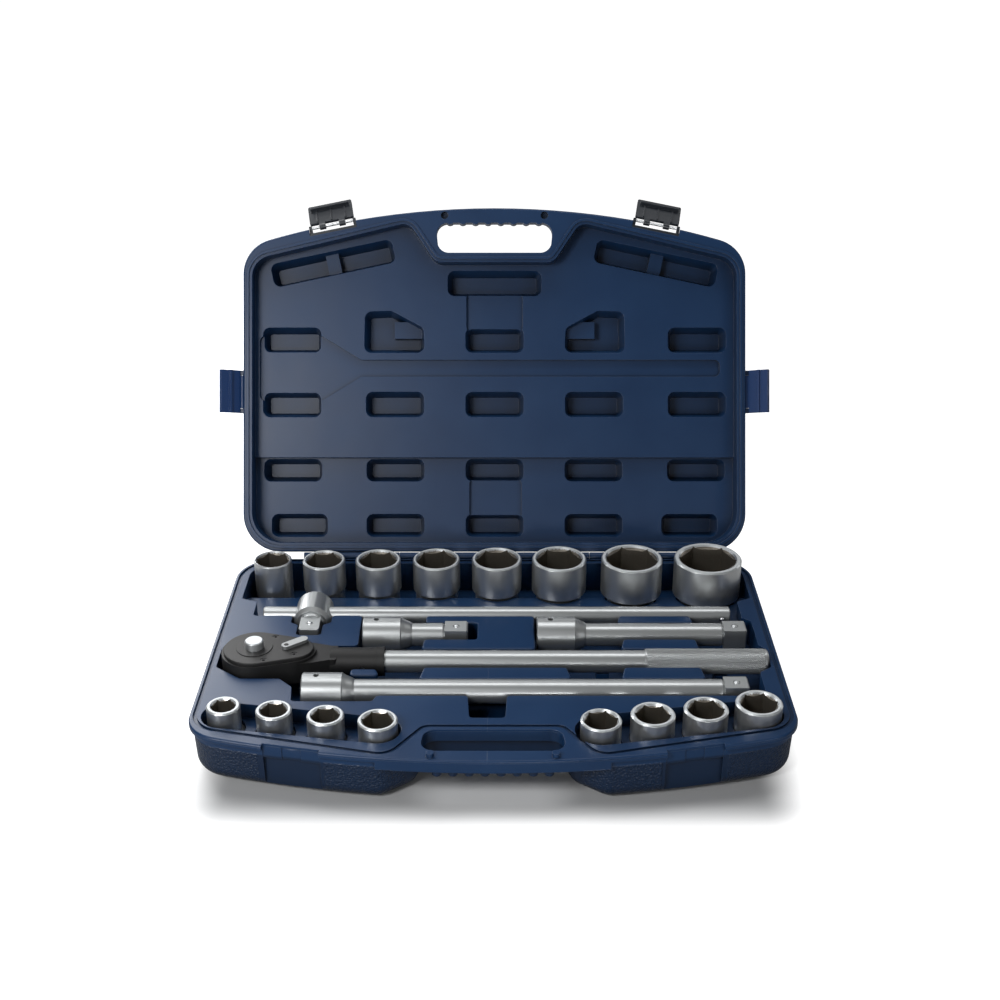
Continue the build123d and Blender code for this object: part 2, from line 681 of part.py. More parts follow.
clasp_face = case_half + 0.8 - clasp_pivot_x
for side, name in ((1, "side_clasp_left"), (-1, "side_clasp_right")):
    frame = lid_plane * Location((side * clasp_pivot_x, clasp_d, clasp_pivot), (0, -side * clasp_splay, 0))
    with BuildPart() as clasp:
        faces = sorted((side * clasp_face, side * (clasp_face + 2)))
        slab(frame, faces, (-clasp_half + 5.4, clasp_half - 5.4), (-26, 0))
        slab(frame, faces, (-clasp_half, clasp_half), (-26, -3.4))
        hook_x = sorted((side * (clasp_face - 2.8), side * (clasp_face + 0.5)))
        slab(frame, hook_x, (-clasp_half, clasp_half), (-clasp_pivot - 8.4, -clasp_pivot - rim - 0.5))
        lip_x = sorted((side * clasp_face, side * (clasp_face + 4)))
        slab(frame, lip_x, (-clasp_half, clasp_half), (-26, -24.2))
        with Locations(frame * Location((0, 0, 0), (90, 0, 0))):
            Cylinder(2.4, clasp_length - 10.8)
            Cylinder(clasp_pin + running, clasp_length, mode=Mode.SUBTRACT)
    save(clasp.part, name)


# Sockets stand in the tray on their drive ends
def socket(size, top, low, length):
    """One socket, drive end down, its mouth up."""
    web = drive_length + 4
    step = web - 1 if top > low else 0.5 * length
    rise = max(4, (top - low) / 2)
    mouth = size / sqrt(3) + 0.5
    with BuildPart() as piece:
        with BuildSketch(Plane.XZ):
            with BuildLine():
                Polyline(
                    (0, 0), (low / 2 - 1, 0), (low / 2, 1), (low / 2, step - rise), (top / 2, step),
                    (top / 2, length - 1.2), (top / 2 - 1.2, length), (0, length), close=True,
                )
            make_face()
        revolve(axis=Axis.Z)
        with BuildSketch(Plane.XY.offset(length)):
            RegularPolygon(size / 2 + 0.1, 6, major_radius=False)
        extrude(amount=-(length - web), mode=Mode.SUBTRACT)
        with Locations((0, 0, length - 1.5)):
            Cone(mouth - 2.6, mouth, 3, mode=Mode.SUBTRACT)
        Box(drive_hole, drive_hole, 2 * drive_length, mode=Mode.SUBTRACT)
        Cylinder(7, 3 * length, mode=Mode.SUBTRACT)
    return piece.part


def socket_turn(size):
    """Each socket was put back turned by its own few degrees."""
    return size * 7 % 23 - 11


socket_z = base_height - deep_floor + seat
for size, top, low, x, length in back_sockets:
    place = Pos(x, hinge_y - back_edge - top / 2, socket_z) * Rot(0, 0, socket_turn(size))
    save(place * socket(size, top, low, length), f"socket_{size}")
for size, top, low, x, d, length in front_sockets:
    place = Pos(x, hinge_y - d, socket_z) * Rot(0, 0, socket_turn(size))
    save(place * socket(size, top, low, length), f"socket_{size}")


# Extension bars: female square on the left, male square with a sprung ball on the right
ball_low = drive / 2 - 2 * ball_radius + ball_travel
spring_low = -2.0


def extension(length):
    shoulder_x = length - drive_length
    with BuildPart() as piece:
        with BuildSketch(Plane.XZ):
            with BuildLine():
                Polyline(
                    (0, 0), (0, female_radius - 1), (1, female_radius), (female_length - 1, female_radius),
                    (female_length, female_radius - 1), (female_length + 3, 14.4),
                    (female_length + 8, 12.2), (female_length + 10, shank_radius),
                    (shoulder_x - 2, shank_radius),
                    (shoulder_x + 1, 9.2), (shoulder_x + 1, 0), close=True,
                )
            make_face()
        revolve(axis=Axis.X)
        with Locations((shoulder_x + drive_length / 2, 0, 0)):
            Box(drive_length, drive, drive)
        chamfer(piece.faces().sort_by(Axis.X)[-1].edges(), 1.2)
        with Locations((12.5, 0, 0)):
            Box(25, drive_hole, drive_hole, mode=Mode.SUBTRACT)
        with Locations((13, 0, female_radius)):
            Cylinder(2.5, 20, mode=Mode.SUBTRACT)
        with Locations((length - drive_length / 2, 0, spring_low + 10)):
            Cylinder(ball_radius + running, 20, mode=Mode.SUBTRACT)
    return piece.part


def detent_ball():
    with BuildPart() as ball:
        with Locations((0, 0, ball_low + ball_radius)):
            Sphere(ball_radius)
    return ball.part


def detent_spring():
    with BuildPart() as spring:
        with Locations((0, 0, (ball_low + 0.5 + spring_low) / 2)):
            Cylinder(2.5, ball_low + 0.5 - spring_low)
            Cylinder(1.7, 20, mode=Mode.SUBTRACT)
    return spring.part


extensions = [(100, short_left, extension_d), (200, middle_left, extension_d), (400, long_left, long_d)]
for length, left, d in extensions:
    place = Pos(left, hinge_y - d, extension_z)
    tip = Pos(left + length - drive_length / 2, hinge_y - d, extension_z)
    save(place * extension(length), f"extension_{length}")
    save(tip * detent_ball(), f"extension_{length}_ball")
    save(tip * detent_spring(), f"extension_{length}_spring")

# Sliding T-bar: bar with a stop ball near each end, head with its own male square toward the front
bar_place = Pos(0, hinge_y - bar_d, bar_z)
with BuildPart() as t_bar:
    with Locations(bar_place * Location(((bar_left + bar_right) / 2, 0, 0), (0, 90, 0))):
        Cylinder(bar_radius, bar_right - bar_left)
    chamfer(t_bar.edges().filter_by(GeomType.CIRCLE), 1.2)
    for x in (bar_left + 8, bar_right - 8):
        with Locations(bar_place * Location((x, -bar_radius + 2, 0), (90, 0, 0))):
            Cylinder(ball_radius, 8, mode=Mode.SUBTRACT)
save(t_bar.part, "t_bar")
with BuildPart() as t_bar_stops:
    for x in (bar_left + 8, bar_right - 8):
        with Locations(bar_place * Location((x, -bar_radius + ball_radius - stop_proud, 0))):
            Sphere(ball_radius)
save(t_bar_stops.part, "t_bar_stops")

head_place = Pos(head_x, hinge_y - bar_d, bar_z)
neck_y = -head_radius
with BuildPart() as t_head:
    with BuildSketch(Plane.XY):
        with BuildLine():
            Polyline(
                (0, head_radius), (head_radius - 2, head_radius), (head_radius, head_radius - 2),
                (head_radius, neck_y + 4), (head_radius - 3, neck_y), (13, neck_y), (12, neck_y - 3),
                (0, neck_y - 3), close=True,
            )
        make_face()
    revolve(axis=Axis.Y)
    with Locations((0, neck_y - 2 - drive_length / 2, 0)):
        Box(drive, drive_length, drive)
    chamfer(t_head.faces().sort_by(Axis.Y)[0].edges(), 1.2)
    with Locations(Location((0, 0, 0), (0, 90, 0))):
        Cylinder(bar_radius + running, 3 * head_radius, mode=Mode.SUBTRACT)
    with Locations((0, neck_y - 2 - drive_length / 2, spring_low + 10)):
        Cylinder(ball_radius + running, 20, mode=Mode.SUBTRACT)
save(head_place * t_head.part, "t_head")
head_tip = head_place * Pos(0, neck_y - 2 - drive_length / 2, 0)
save(head_tip * detent_ball(), "t_head_ball")
save(head_tip * detent_spring(), "t_head_spring")

# Ratchet, lying with its square down
cover_high = housing_high + 3.0
spindle = 29.5
gear_teeth = 24
gear_low, gear_high = housing_low + 4.1, housing_high - 1.1
gear_radius = 19.6
boss_radius = 16.5
foot_radius = 15.0
stem_radius = 4.6
button_radius = 8.5
button_low, button_high = housing_high, housing_high + 11.0
button_travel = 3.0
drive_ball_z = housing_low - 14.0
screw_spots = [(17, 19.6), (11.5, -21.6), (38, -11)]
ratchet_place = Pos(ratchet_head_x, hinge_y - ratchet_d, 0)


def head_plan(inset):
    with BuildSketch() as plan:
        Circle(ratchet_head_radius - inset)
        with Locations((36, 0)):
            Circle(20.5 - inset)
        make_hull()
    return plan.sketch


with BuildPart() as ratchet_housing:
    with BuildSketch(Plane.XY.offset(housing_low)):
        add(head_plan(0))
    extrude(amount=housing_high - housing_low)
    with BuildSketch(Plane.XY.offset(housing_low + 0.5)):
        with BuildLine():
            FilletPolyline(
                (30, -21), (52, -18), (70, -12.5), (76, -12.5), (76, 12.5), (70, 12.5), (52, 18), (30, 21),
                radius=2, close=True,
            )
        make_face()
    extrude(amount=housing_high - housing_low - 3)
    neck_x = neck_end - ratchet_head_x
    with Locations(Location(((70 + neck_x) / 2, 0, ratchet_z), (0, 90, 0))):
        Cylinder(neck_radius, neck_x - 70)
    with Locations(Location((neck_x - 4, 0, ratchet_z), (0, 90, 0))):
        Cylinder(collar_radius, 8)
    with Locations(Location((neck_x - 22, 0, ratchet_z), (0, 90, 0))):
        Cylinder(tube_radius, 50, mode=Mode.SUBTRACT)
    with Locations((0, 0, gear_low - 0.1 + 20)):
        Cylinder(gear_radius + 0.5, 40, mode=Mode.SUBTRACT)
    Cylinder(foot_radius + running, 100, mode=Mode.SUBTRACT)
    with Locations((spindle, 0, housing_low + 6 + 20)):
        Cylinder(11, 40, mode=Mode.SUBTRACT)
    for x, y in screw_spots:
        with Locations((x, y, housing_high - 4)):
            Cylinder(1.6, 8, mode=Mode.SUBTRACT)
    with Locations(Location((neck_x - 20, 0, ratchet_z), (90, 0, 0))):
        Cylinder(2, 40, mode=Mode.SUBTRACT)
save(ratchet_place * ratchet_housing.part, "ratchet_housing")

with BuildPart() as ratchet_cover:
    with BuildSketch(Plane.XY.offset(housing_high)):
        add(head_plan(2.0))
    extrude(amount=cover_high - housing_high)
    chamfer(ratchet_cover.faces().sort_by(Axis.Z)[-1].edges(), 0.6)
    with Locations((0, 0, housing_high)):
        Cylinder(boss_radius + running, 20, mode=Mode.SUBTRACT)
    with Locations((spindle, 0, housing_high)):
        Cylinder(4 + running, 20, mode=Mode.SUBTRACT)
    for x, y in screw_spots:
        with Locations((x, y, housing_high)):
            Cylinder(1.6, 20, mode=Mode.SUBTRACT)
        with Locations((x, y, cover_high)):
            Cylinder(3.2, 3.6, mode=Mode.SUBTRACT)
save(ratchet_place * ratchet_cover.part, "ratchet_cover")

with BuildPart() as cover_screws:
    for x, y in screw_spots:
        with Locations((x, y, (housing_high - 7.5 + cover_high - 1.8) / 2)):
            Cylinder(1.6, cover_high - 1.8 - housing_high + 7.5)
        with Locations((x, y, cover_high - 1.1)):
            Cylinder(3.2, 1.4)
    for x, y in screw_spots:
        with BuildSketch(Plane.XY.offset(cover_high)):
            with Locations((x, y)):
                RegularPolygon(1.5, 6)
        extrude(amount=-1.6, mode=Mode.SUBTRACT)
save(ratchet_place * cover_screws.part, "cover_screws")

with BuildPart() as drive_gear:
    with BuildSketch(Plane.XY.offset(gear_low)):
        Circle(gear_radius)
    extrude(amount=gear_high - gear_low)
    with BuildSketch(Plane.XY.offset(gear_low)):
        with PolarLocations(gear_radius, gear_teeth):
            Rectangle(3.0, 2.6, rotation=45)
    extrude(amount=gear_high - gear_low, mode=Mode.SUBTRACT)
    with Locations((0, 0, (gear_high + cover_high + 0.6) / 2)):
        Cylinder(boss_radius, cover_high + 0.6 - gear_high)
    with Locations((0, 0, (gear_low + housing_low) / 2)):
        Cylinder(foot_radius, gear_low - housing_low)
    with Locations((0, 0, housing_low - drive_length / 2)):
        Box(drive, drive, drive_length)
    chamfer(drive_gear.faces().sort_by(Axis.Z)[0].edges(), 1.2)
    with Locations((0, 0, 50 + button_low - 4)):
        Cylinder(button_radius + running, 100, mode=Mode.SUBTRACT)
    with Locations((0, 0, 50 + housing_low - drive_length + 2)):
        Cylinder(stem_radius + running, 100, mode=Mode.SUBTRACT)
    with Locations(Location((0, -10, drive_ball_z), (90, 0, 0))):
        Cylinder(ball_radius + running, 20, mode=Mode.SUBTRACT)
save(ratchet_place * drive_gear.part, "drive_gear")

with BuildPart() as drive_ball:
    with Locations((0, -(ball_low + ball_radius), drive_ball_z)):
        Sphere(ball_radius)
save(ratchet_place * drive_ball.part, "drive_ball")

stem_low = drive_ball_z - 2.5
with BuildPart() as release_button:
    with BuildSketch(Plane.XZ):
        with BuildLine():
            Polyline(
                (0, stem_low), (stem_radius - 0.2, stem_low), (stem_radius - 0.2, drive_ball_z - 1.5),
                (3.0, drive_ball_z + 2.2),
                (3.0, drive_ball_z + 7), (stem_radius, drive_ball_z + 8), (stem_radius, button_low),
                (button_radius, button_low), (button_radius, button_high - 1),
                (button_radius - 1, button_high), (0, button_high), close=True,
            )
        make_face()
    revolve(axis=Axis.Z)
save(ratchet_place * release_button.part, "release_button")

with BuildPart() as button_spring:
    with Locations((0, 0, button_low - 2)):
        Cylinder(7.6, 4)
        Cylinder(6.2, 10, mode=Mode.SUBTRACT)
save(ratchet_place * button_spring.part, "button_spring")

lever_angle = 38.0
pawl_tilt = lever_angle / 4
with BuildPart() as reversing_lever:
    with BuildSketch(Plane.XY.offset(cover_high + 0.1)):
        with Locations(Location((spindle, 0, 0), (0, 0, lever_angle))):
            with Locations((9, 0)):
                SlotOverall(27, 8.4)
    extrude(amount=3.2)
    with Locations((spindle, 0, (housing_low + 8 + cover_high + 0.1) / 2)):
        Cylinder(4, cover_high + 0.1 - housing_low - 8)
save(ratchet_place * reversing_lever.part, "reversing_lever")

with BuildPart() as pawl:
    with BuildSketch(Plane.XY.offset(housing_low + 8)):
        with Locations((spindle, 0)):
            Circle(5.6)
            with PolarLocations(8.2, 2, start_angle=180 + pawl_tilt - 58, angular_range=232):
                Circle(2.4)
        make_hull()
        with Locations((spindle, 0)):
            Circle(4 + running, mode=Mode.SUBTRACT)
    extrude(amount=13)
save(ratchet_place * pawl.part, "pawl")

with BuildPart() as ratchet_handle:
    with Locations(Location(((neck_end - 46 + grip_start) / 2, 0, 0), (0, 90, 0))):
        Cylinder(tube_radius, grip_start - neck_end + 46)
    with Locations(Location(((grip_end + grip_start) / 2, 0, 0), (0, 90, 0))):
        Cylinder(grip_radius - knurl_depth, grip_end - grip_start)
    chamfer(ratchet_handle.faces().sort_by(Axis.X)[-1].edges(), 1.8)
    with Locations(Location((neck_end - 20, 0, 0), (90, 0, 0))):
        Cylinder(2, 40, mode=Mode.SUBTRACT)
save(Pos(0, hinge_y - ratchet_d, ratchet_z) * ratchet_handle.part, "ratchet_handle")

with BuildPart() as handle_pin:
    with Locations(Location((neck_end - 20, 0, 0), (90, 0, 0))):
        Cylinder(2, 24)
save(Pos(0, hinge_y - ratchet_d, ratchet_z) * handle_pin.part, "handle_pin")
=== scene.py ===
"""Looks of the socket wrench set: navy moulded case, satin chrome tools, matt black ratchet head."""
import json
import math

import bmesh
import bpy
from mathutils import Matrix, Vector


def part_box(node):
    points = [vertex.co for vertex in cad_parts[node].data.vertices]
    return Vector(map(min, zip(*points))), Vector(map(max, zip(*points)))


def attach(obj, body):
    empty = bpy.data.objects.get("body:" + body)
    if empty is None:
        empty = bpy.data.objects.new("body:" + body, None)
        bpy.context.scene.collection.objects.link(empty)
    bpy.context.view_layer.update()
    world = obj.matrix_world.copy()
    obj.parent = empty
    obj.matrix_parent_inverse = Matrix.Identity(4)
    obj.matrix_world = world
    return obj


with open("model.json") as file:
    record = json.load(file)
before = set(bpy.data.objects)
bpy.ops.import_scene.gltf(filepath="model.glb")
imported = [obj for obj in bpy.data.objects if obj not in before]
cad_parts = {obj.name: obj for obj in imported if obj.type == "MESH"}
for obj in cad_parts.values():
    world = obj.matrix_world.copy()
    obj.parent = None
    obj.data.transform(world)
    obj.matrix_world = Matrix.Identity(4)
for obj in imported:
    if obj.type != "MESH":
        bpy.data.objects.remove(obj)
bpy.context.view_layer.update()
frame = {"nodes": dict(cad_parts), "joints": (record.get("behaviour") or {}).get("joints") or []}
nodes = frame["nodes"]
MM = 0.001

# Camera, as found from the case's edges in the photograph
camera_place = (0.0058, -1.187, 0.7645)
camera_pitch = 25.4
camera_lens = 52.9

joints = {joint["name"]: joint for joint in frame["joints"]}

# The case's own places: hinge axis, how far the open lid leans back, middle of each latch
lid_hinge = joints["lid_hinge"]
hinge_point = lid_hinge["pos_m"]
lean = math.radians(-lid_hinge["range_deg"][0] - 90)
latch_x = 171 * MM

# Skin of the case: width of the mould's waves, grain and stipple, and where the stipple stops
wave_width, grain_width = 38 * MM, 1.1 * MM
dimple_width, dimple_depth = 2.2 * MM, 0.9 * MM
stipple_start, stipple_full = 11 * MM, 12.5 * MM
plain_by_latch, plain_by_handle = 28 * MM, 74 * MM
mask_edge = 1 * MM

# Depth of the polished ring at a socket's mouth
rim_depth = 1.6 * MM


def linear(colour):
    """An sRGB hex value as the linear RGBA that a socket takes."""
    channels = [int(colour[i:i + 2], 16) / 255 for i in (1, 3, 5)]
    return [c / 12.92 if c <= 0.04045 else ((c + 0.055) / 1.055) ** 2.4 for c in channels] + [1.0]


def add_node(tree, kind, inputs=None, **settings):
    """One node. An input takes a value, or a socket that is linked to it."""
    node = tree.nodes.new(kind)
    for name, value in settings.items():
        setattr(node, name, value)
    for name, value in (inputs or {}).items():
        if isinstance(value, bpy.types.NodeSocket):
            tree.links.new(value, node.inputs[name])
        else:
            node.inputs[name].default_value = value
    return node


def placed(name, data):
    """An object for a mesh, light or camera, linked into the scene."""
    thing = bpy.data.objects.new(name, data)
    bpy.context.scene.collection.objects.link(thing)
    return thing


def new_material(name, **sockets):
    """A material with one principled shader; returns it with its tree, shader and object coordinates."""
    material = bpy.data.materials.new(name)
    material.use_nodes = True
    tree = material.node_tree
    shader = tree.nodes["Principled BSDF"]
    for socket, value in sockets.items():
        shader.inputs[socket.replace("_", " ")].default_value = value
    place = add_node(tree, "ShaderNodeTexCoord").outputs["Object"]
    return material, tree, shader, place


def case_plastic(name, dark, light, into=None):
    """Blow-moulded polyethylene: a soft sheen, a slightly wavy skin, fine grain, edges painted paler
    as a highlight, and painted shade in its hollows and corners.

    An outer shell also has stippled walls, painted darker as shade: into is the direction from its rim
    to its bottom.
    """
    material, tree, shader, place = new_material(name, Specular_IOR_Level=0.3)
    cloud = add_node(tree, "ShaderNodeTexNoise", {"Vector": place, "Scale": 1 / (55 * MM), "Detail": 3.0})
    tone = add_node(
        tree, "ShaderNodeMix", {"Factor": cloud.outputs["Fac"], "A": linear(dark), "B": linear(light)},
        data_type="RGBA",
    )
    rounded = add_node(tree, "ShaderNodeBevel", {"Radius": 0.7 * MM}, samples=6)
    geometry = add_node(tree, "ShaderNodeNewGeometry")
    facing = add_node(
        tree, "ShaderNodeVectorMath",
        {0: rounded.outputs["Normal"], 1: geometry.outputs["Normal"]}, operation="DOT_PRODUCT",
    )
    # Painted highlight: near edges, where the bevel normal turns away, the colour turns pale blue-grey
    edge = add_node(
        tree, "ShaderNodeMapRange",
        {"Value": facing.outputs["Value"], "From Min": 0.98, "From Max": 0.8, "To Max": 0.16},
    )
    edge_highlight = add_node(
        tree, "ShaderNodeMix",
        {"Factor": edge.outputs["Result"], "A": tone.outputs[2], "B": linear("#7d8fae")}, data_type="RGBA",
    )
    # Painted shade: ambient occlusion darkens the colour in hollows, creases and corners, down to 0.3 of it
    corner = add_node(tree, "ShaderNodeAmbientOcclusion", {"Distance": 22 * MM}, samples=6)
    shade = add_node(
        tree, "ShaderNodeMapRange",
        {"Value": corner.outputs["AO"], "From Min": 0.25, "From Max": 0.85, "To Min": 0.3},
    )
    colour = edge_highlight.outputs[2]
    rub = add_node(
        tree, "ShaderNodeMapRange", {"Value": cloud.outputs["Fac"], "To Min": 0.35, "To Max": 0.44}
    )
    tree.links.new(rub.outputs["Result"], shader.inputs["Roughness"])
    wave = add_node(tree, "ShaderNodeTexNoise", {"Vector": place, "Scale": 1 / wave_width, "Detail": 1.0})
    normal = add_node(
        tree, "ShaderNodeBump",
        {"Strength": 0.35, "Distance": 0.6 * MM, "Height": wave.outputs["Fac"],
         "Normal": rounded.outputs["Normal"]},
    )
    if into:
        from_hinge = add_node(
            tree, "ShaderNodeVectorMath", {0: place, 1: hinge_point}, operation="SUBTRACT"
        )
        depth = add_node(
            tree, "ShaderNodeVectorMath", {0: from_hinge.outputs[0], 1: into}, operation="DOT_PRODUCT"
        )
        below_rim = add_node(
            tree, "ShaderNodeMapRange",
            {"Value": depth.outputs["Value"], "From Min": stipple_start, "From Max": stipple_full},
        )
        across = add_node(tree, "ShaderNodeSeparateXYZ", {0: place})
        off_centre = add_node(tree, "ShaderNodeMath", {0: across.outputs["X"]}, operation="ABSOLUTE")
        off_latch = add_node(
            tree, "ShaderNodeMath", {0: off_centre.outputs[0], 1: latch_x}, operation="SUBTRACT"
        )
        beside = add_node(tree, "ShaderNodeMath", {0: off_latch.outputs[0]}, operation="ABSOLUTE")
        clear = add_node(
            tree, "ShaderNodeMapRange",
            {"Value": beside.outputs[0], "From Min": plain_by_latch, "From Max": plain_by_latch + mask_edge},
        )
        off_handle = add_node(
            tree, "ShaderNodeMapRange",
            {"Value": off_centre.outputs[0], "From Min": plain_by_handle,
             "From Max": plain_by_handle + 2 * mask_edge, "To Max": clear.outputs[0]},
        )
        mask = add_node(
            tree, "ShaderNodeMath", {0: below_rim.outputs[0], 1: off_handle.outputs[0]}, operation="MULTIPLY"
        )
        dimples = add_node(tree, "ShaderNodeTexVoronoi", {"Vector": place, "Scale": 1 / dimple_width})
        height = add_node(
            tree, "ShaderNodeMath", {0: dimples.outputs["Distance"], 1: mask.outputs[0]}, operation="MULTIPLY"
        )
        # Painted shade: the walls below the rim are darkened to half their colour
        painted_wall_shade = add_node(
            tree, "ShaderNodeMapRange", {"Value": below_rim.outputs[0], "To Min": 1.0, "To Max": 0.5}
        )
        colour = add_node(
            tree, "ShaderNodeVectorMath", {0: colour, "Scale": painted_wall_shade.outputs["Result"]}, operation="SCALE"
        ).outputs[0]
        normal = add_node(
            tree, "ShaderNodeBump",
            {"Strength": 1.0, "Distance": dimple_depth, "Height": height.outputs[0],
             "Normal": normal.outputs["Normal"]},
        )
    # The painted shade of the hollows scales the colour here
    painted_hollow_shade = add_node(
        tree, "ShaderNodeVectorMath", {0: colour, "Scale": shade.outputs["Result"]}, operation="SCALE"
    )
    tree.links.new(painted_hollow_shade.outputs[0], shader.inputs["Base Color"])
    grain = add_node(tree, "ShaderNodeTexNoise", {"Vector": place, "Scale": 1 / grain_width, "Detail": 2.0})
    skin = add_node(
        tree, "ShaderNodeBump",
        {"Strength": 0.22, "Distance": 0.12 * MM, "Height": grain.outputs["Fac"],
         "Normal": normal.outputs["Normal"]},
    )
    tree.links.new(skin.outputs["Normal"], shader.inputs["Normal"])
    return material


def satin_chrome(name, colour, low, high, grit, metallic=0.85):
    """Chrome plate over a blasted or ground skin: soft, slightly patchy reflections and fine grit.

    Flat faces that look up are milled, so they scatter more.
    """
    material, tree, shader, place = new_material(name, Metallic=metallic)
    patch = add_node(tree, "ShaderNodeTexNoise", {"Vector": place, "Scale": 1 / (28 * MM), "Detail": 3.0})
    rough = add_node(
        tree, "ShaderNodeMapRange", {"Value": patch.outputs["Fac"], "To Min": low, "To Max": high}
    )
    geometry = add_node(tree, "ShaderNodeNewGeometry")
    upward = add_node(tree, "ShaderNodeSeparateXYZ", {0: geometry.outputs["Normal"]})
    milled = add_node(
        tree, "ShaderNodeMapRange",
        {"Value": upward.outputs["Z"], "From Min": 0.985, "From Max": 0.998,
         "To Min": rough.outputs["Result"], "To Max": 0.72},
    )
    tree.links.new(milled.outputs["Result"], shader.inputs["Roughness"])
    tone = add_node(
        tree, "ShaderNodeMix",
        {"Factor": patch.outputs["Fac"], "A": linear(colour), "B": [0.9 * c for c in linear(colour)]},
        data_type="RGBA",
    )
    tree.links.new(tone.outputs[2], shader.inputs["Base Color"])
    grain = add_node(tree, "ShaderNodeTexNoise", {"Vector": place, "Scale": 1 / (grit * MM), "Detail": 2.0})
    rounded = add_node(tree, "ShaderNodeBevel", {"Radius": 0.35 * MM}, samples=4)
    skin = add_node(
        tree, "ShaderNodeBump",
        {"Strength": 0.18, "Distance": 0.05 * MM, "Height": grain.outputs["Fac"],
         "Normal": rounded.outputs["Normal"]},
    )
    tree.links.new(skin.outputs["Normal"], shader.inputs["Normal"])
    return material


def plain_finish(name, colour, roughness, metallic, grit, depth, specular=0.5):
    """A plain moulded, painted or plated finish with fine grit of that size and depth in millimetres."""
    material, tree, shader, place = new_material(name, Metallic=metallic, Specular_IOR_Level=specular)
    grain = add_node(tree, "ShaderNodeTexNoise", {"Vector": place, "Scale": 1 / (grit * MM), "Detail": 3.0})
    pale = [min(1.0, c * 1.6 + 0.004) for c in linear(colour)]
    tone = add_node(
        tree, "ShaderNodeMix",
        {"Factor": grain.outputs["Fac"], "A": linear(colour), "B": pale}, data_type="RGBA",
    )
    tree.links.new(tone.outputs[2], shader.inputs["Base Color"])
    rough = add_node(
        tree, "ShaderNodeMapRange",
        {"Value": grain.outputs["Fac"], "To Min": roughness - 0.06, "To Max": roughness + 0.06},
    )
    tree.links.new(rough.outputs["Result"], shader.inputs["Roughness"])
    rounded = add_node(tree, "ShaderNodeBevel", {"Radius": 0.4 * MM}, samples=4)
    skin = add_node(
        tree, "ShaderNodeBump",
        {"Strength": 0.4, "Distance": depth * MM, "Height": grain.outputs["Fac"],
         "Normal": rounded.outputs["Normal"]},
    )
    tree.links.new(skin.outputs["Normal"], shader.inputs["Normal"])
    return material


# Polyethylene blown into a mould: waxy sheen, and a pebbled skin outside that breaks the reflections up
navy_tones = "#0d2b4e", "#12355b"
navy = case_plastic("navy polyethylene, blow moulded", *navy_tones)
navy_base = case_plastic("navy polyethylene, stippled base", *navy_tones, (0, 0, -1))
navy_lid = case_plastic("navy polyethylene, stippled lid", *navy_tones, (0, math.cos(lean), -math.sin(lean)))
# Thin moulded clips: smoother and glossier than the case
clasp_blue = plain_finish("blue polypropylene, moulded", "#15305a", 0.35, 0.0, 1.2, 0.05)
latch_black = plain_finish("black nylon, moulded", "#20242a", 0.3, 0.0, 0.9, 0.05)
# Chrome plate: grey and soft on the bars, sharpest on the small polished parts.
# The sockets' copy is smoother, and its paler colour is painted light that makes them brighter beside the
# bars
chrome = satin_chrome("satin chrome plate", "#aaadae", 0.34, 0.4, 0.5)
satin = satin_chrome("satin chrome plate, sockets painted paler", "#d4d6d6", 0.27, 0.35, 0.5, 0.95)
bright = satin_chrome("polished chrome plate", "#d6dadc", 0.28, 0.36, 0.6)
# Broached bores: bare steel under oil, brownish and dull
burnt = plain_finish("broached steel, oiled", "#736e66", 0.34, 0.85, 0.8, 0.05)
# Black oxide: soaks up light, with a faint grit; the screws are a little smoother,
# and their finish also paints the shade of the lever's pivot hole
head_black = plain_finish("black oxide steel, blasted", "#0b0b0c", 0.55, 0.0, 0.7, 0.08, 0.35)
black_screw_and_hole_shade = plain_finish("black oxide screws, and painted hole shade", "#141416", 0.45, 0.4, 0.6, 0.04)
# Zinc plate on pins, stops and the button spring: a cool even grey
steel = plain_finish("zinc plated steel", "#b4b6b8", 0.3, 1.0, 0.6, 0.03)

finishes = {
    navy: [
        "base_tray_back", "base_tray_bars", "base_tray_ratchet", "base_tray_left", "base_tray_right",
        "lid_rim", "lid_panel_back", "lid_panel_front",
    ],
    navy_base: ["base_outer_shell"],
    navy_lid: ["lid_outer_shell"],
    clasp_blue: ["side_clasp_left", "side_clasp_right"],
    latch_black: ["latch_left", "latch_right", "latch_brackets"],
    head_black: ["ratchet_housing", "ratchet_cover", "drive_gear"],
    black_screw_and_hole_shade: ["cover_screws"],
    bright: ["release_button"],
    steel: [
        "hinge_pins", "latch_pins", "side_clasp_pins", "handle_pin", "pawl", "t_bar_stops", "button_spring",
    ],
}
finish_of = {node: finish for finish, names in finishes.items() for node in names}
for name, node in nodes.items():
    loose = name.endswith(("_ball", "_spring"))
    plate = satin if name.startswith("socket_") else chrome
    node.data.materials.clear()
    node.data.materials.append(finish_of.get(name, bright if loose else plate))


def lathe_zones(name, inside, rim):
    """Gives a socket's mouth the broached finish and its top rim the polished one."""
    node = nodes[name]
    low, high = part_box(name)
    middle = (low + high) / 2
    node.data.materials.append(inside)
    node.data.materials.append(rim)
    top = high.z
    for face in node.data.polygons:
        spot = Vector(face.center) - middle
        away = Vector((spot.x, spot.y))
        inward = away.length > 1e-6 and Vector(face.normal.xy).dot(away.normalized()) < -0.2
        if face.center.z > top - rim_depth:
            face.material_index = 2
        elif inward or face.normal.z > 0.9:
            face.material_index = 1


for name in nodes:
    if name.startswith("socket_"):
        lathe_zones(name, burnt, bright)


